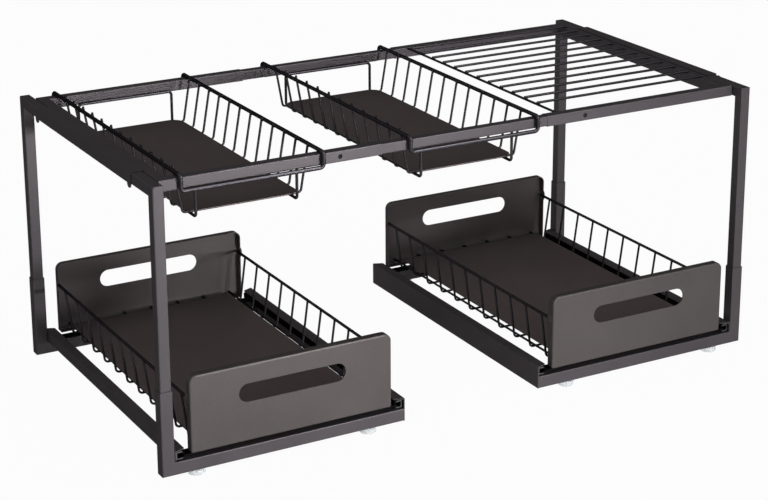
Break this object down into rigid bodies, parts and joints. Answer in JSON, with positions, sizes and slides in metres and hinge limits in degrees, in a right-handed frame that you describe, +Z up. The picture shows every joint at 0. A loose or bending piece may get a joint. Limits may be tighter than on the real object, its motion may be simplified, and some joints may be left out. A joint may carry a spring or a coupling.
{
  "type": "under sink organizer",
  "caption": "Expandable under-sink organizer: a tubular steel frame with pull-out wire drawers below, hanging wire baskets and a wire shelf above.",
  "frame": {"origin": "on the floor, at the middle of the frame's footprint", "axes": "+Z up, +X along the width to the right as seen from the front, front faces -Y"},
  "size_m": [0.7906, 0.415, 0.3449],
  "materials": {
    "frame_coat": "satin powder coat",
    "panel_coat": "satin powder coat",
    "plate_coat": "satin powder coat",
    "wire_coat": "satin powder coat",
    "slide_black": "satin",
    "slide_steel": "black zinc plated",
    "screw_steel": "black oxide",
    "foot_pad": "frosted translucent"
  },
  "bodies": {
    "left_half": {"left_front_base_rail": "frame_coat", "left_front_post_socket": "frame_coat", "left_front_post": "frame_coat", "left_front_top_rail": "frame_coat", "left_rear_base_rail": "frame_coat", "left_rear_post_socket": "frame_coat", "left_rear_post": "frame_coat", "left_rear_top_rail": "frame_coat", "left_post_side_bracket": "frame_coat", "left_free_side_bracket": "frame_coat", "left_base_feet": "foot_pad", "left_end_tube": "frame_coat", "left_saddle": "frame_coat", "left_section_cross_tube": "frame_coat", "left_lock_screws": "screw_steel", "left_slide_fixed_members": "slide_black"},
    "right_half": {"right_front_base_rail": "frame_coat", "right_front_post_socket": "frame_coat", "right_front_post": "frame_coat", "right_front_top_rail": "frame_coat", "right_rear_base_rail": "frame_coat", "right_rear_post_socket": "frame_coat", "right_rear_post": "frame_coat", "right_rear_top_rail": "frame_coat", "right_post_side_bracket": "frame_coat", "right_free_side_bracket": "frame_coat", "right_base_feet": "foot_pad", "right_end_tube": "frame_coat", "right_saddle": "frame_coat", "right_section_cross_tube": "frame_coat", "right_lock_screws": "screw_steel", "right_slide_fixed_members": "slide_black", "shelf_wires": "wire_coat"},
    "extension_tubes": {"front_extension_tube": "frame_coat", "rear_extension_tube": "frame_coat"},
    "left_basket": {"left_basket_rim": "wire_coat", "left_basket_cradle": "wire_coat", "left_basket_cross_wires": "wire_coat", "left_basket_floor": "plate_coat"},
    "left_slide_middle": {"left_slide_middle_members": "slide_steel"},
    "left_drawer": {"left_drawer_front_panel": "panel_coat", "left_drawer_rear_panel": "panel_coat", "left_drawer_side_rails": "wire_coat", "left_drawer_cross_wires": "wire_coat", "left_drawer_long_wires": "wire_coat", "left_drawer_floor": "plate_coat", "left_slide_drawer_members": "slide_black"},
    "right_basket": {"right_basket_rim": "wire_coat", "right_basket_cradle": "wire_coat", "right_basket_cross_wires": "wire_coat", "right_basket_floor": "plate_coat"},
    "right_slide_middle": {"right_slide_middle_members": "slide_steel"},
    "right_drawer": {"right_drawer_front_panel": "panel_coat", "right_drawer_rear_panel": "panel_coat", "right_drawer_side_rails": "wire_coat", "right_drawer_cross_wires": "wire_coat", "right_drawer_long_wires": "wire_coat", "right_drawer_floor": "plate_coat", "right_slide_drawer_members": "slide_black"}
  },
  "joints": [
    {"name": "width_adjust", "type": "slide", "parent": "left_half", "child": "right_half", "axis": [1, 0, 0], "range_m": [-0.045, 0.1]},
    {"name": "extension_follow", "type": "slide", "parent": "left_half", "child": "extension_tubes", "axis": [1, 0, 0], "range_m": [-0.0225, 0.05]},
    {"name": "left_basket_slide", "type": "slide", "parent": "left_half", "child": "left_basket", "axis": [1, 0, 0], "range_m": [-0.006, 0.03]},
    {"name": "right_basket_slide", "type": "slide", "parent": "right_half", "child": "right_basket", "axis": [1, 0, 0], "range_m": [-0.025, 0.018]},
    {"name": "left_drawer_slide", "type": "slide", "parent": "left_half", "child": "left_drawer", "axis": [0, -1, 0], "range_m": [0, 0.25]},
    {"name": "left_slide_middle_follow", "type": "slide", "parent": "left_half", "child": "left_slide_middle", "axis": [0, -1, 0], "range_m": [0, 0.125]},
    {"name": "right_drawer_slide", "type": "slide", "parent": "right_half", "child": "right_drawer", "axis": [0, -1, 0], "range_m": [0, 0.25]},
    {"name": "right_slide_middle_follow", "type": "slide", "parent": "right_half", "child": "right_slide_middle", "axis": [0, -1, 0], "range_m": [0, 0.125]}
  ],
  "couplings": [
    {"joint": "extension_follow", "follows": "width_adjust", "ratio": 0.5},
    {"joint": "left_slide_middle_follow", "follows": "left_drawer_slide", "ratio": 0.5},
    {"joint": "right_slide_middle_follow", "follows": "right_drawer_slide", "ratio": 0.5}
  ]
}
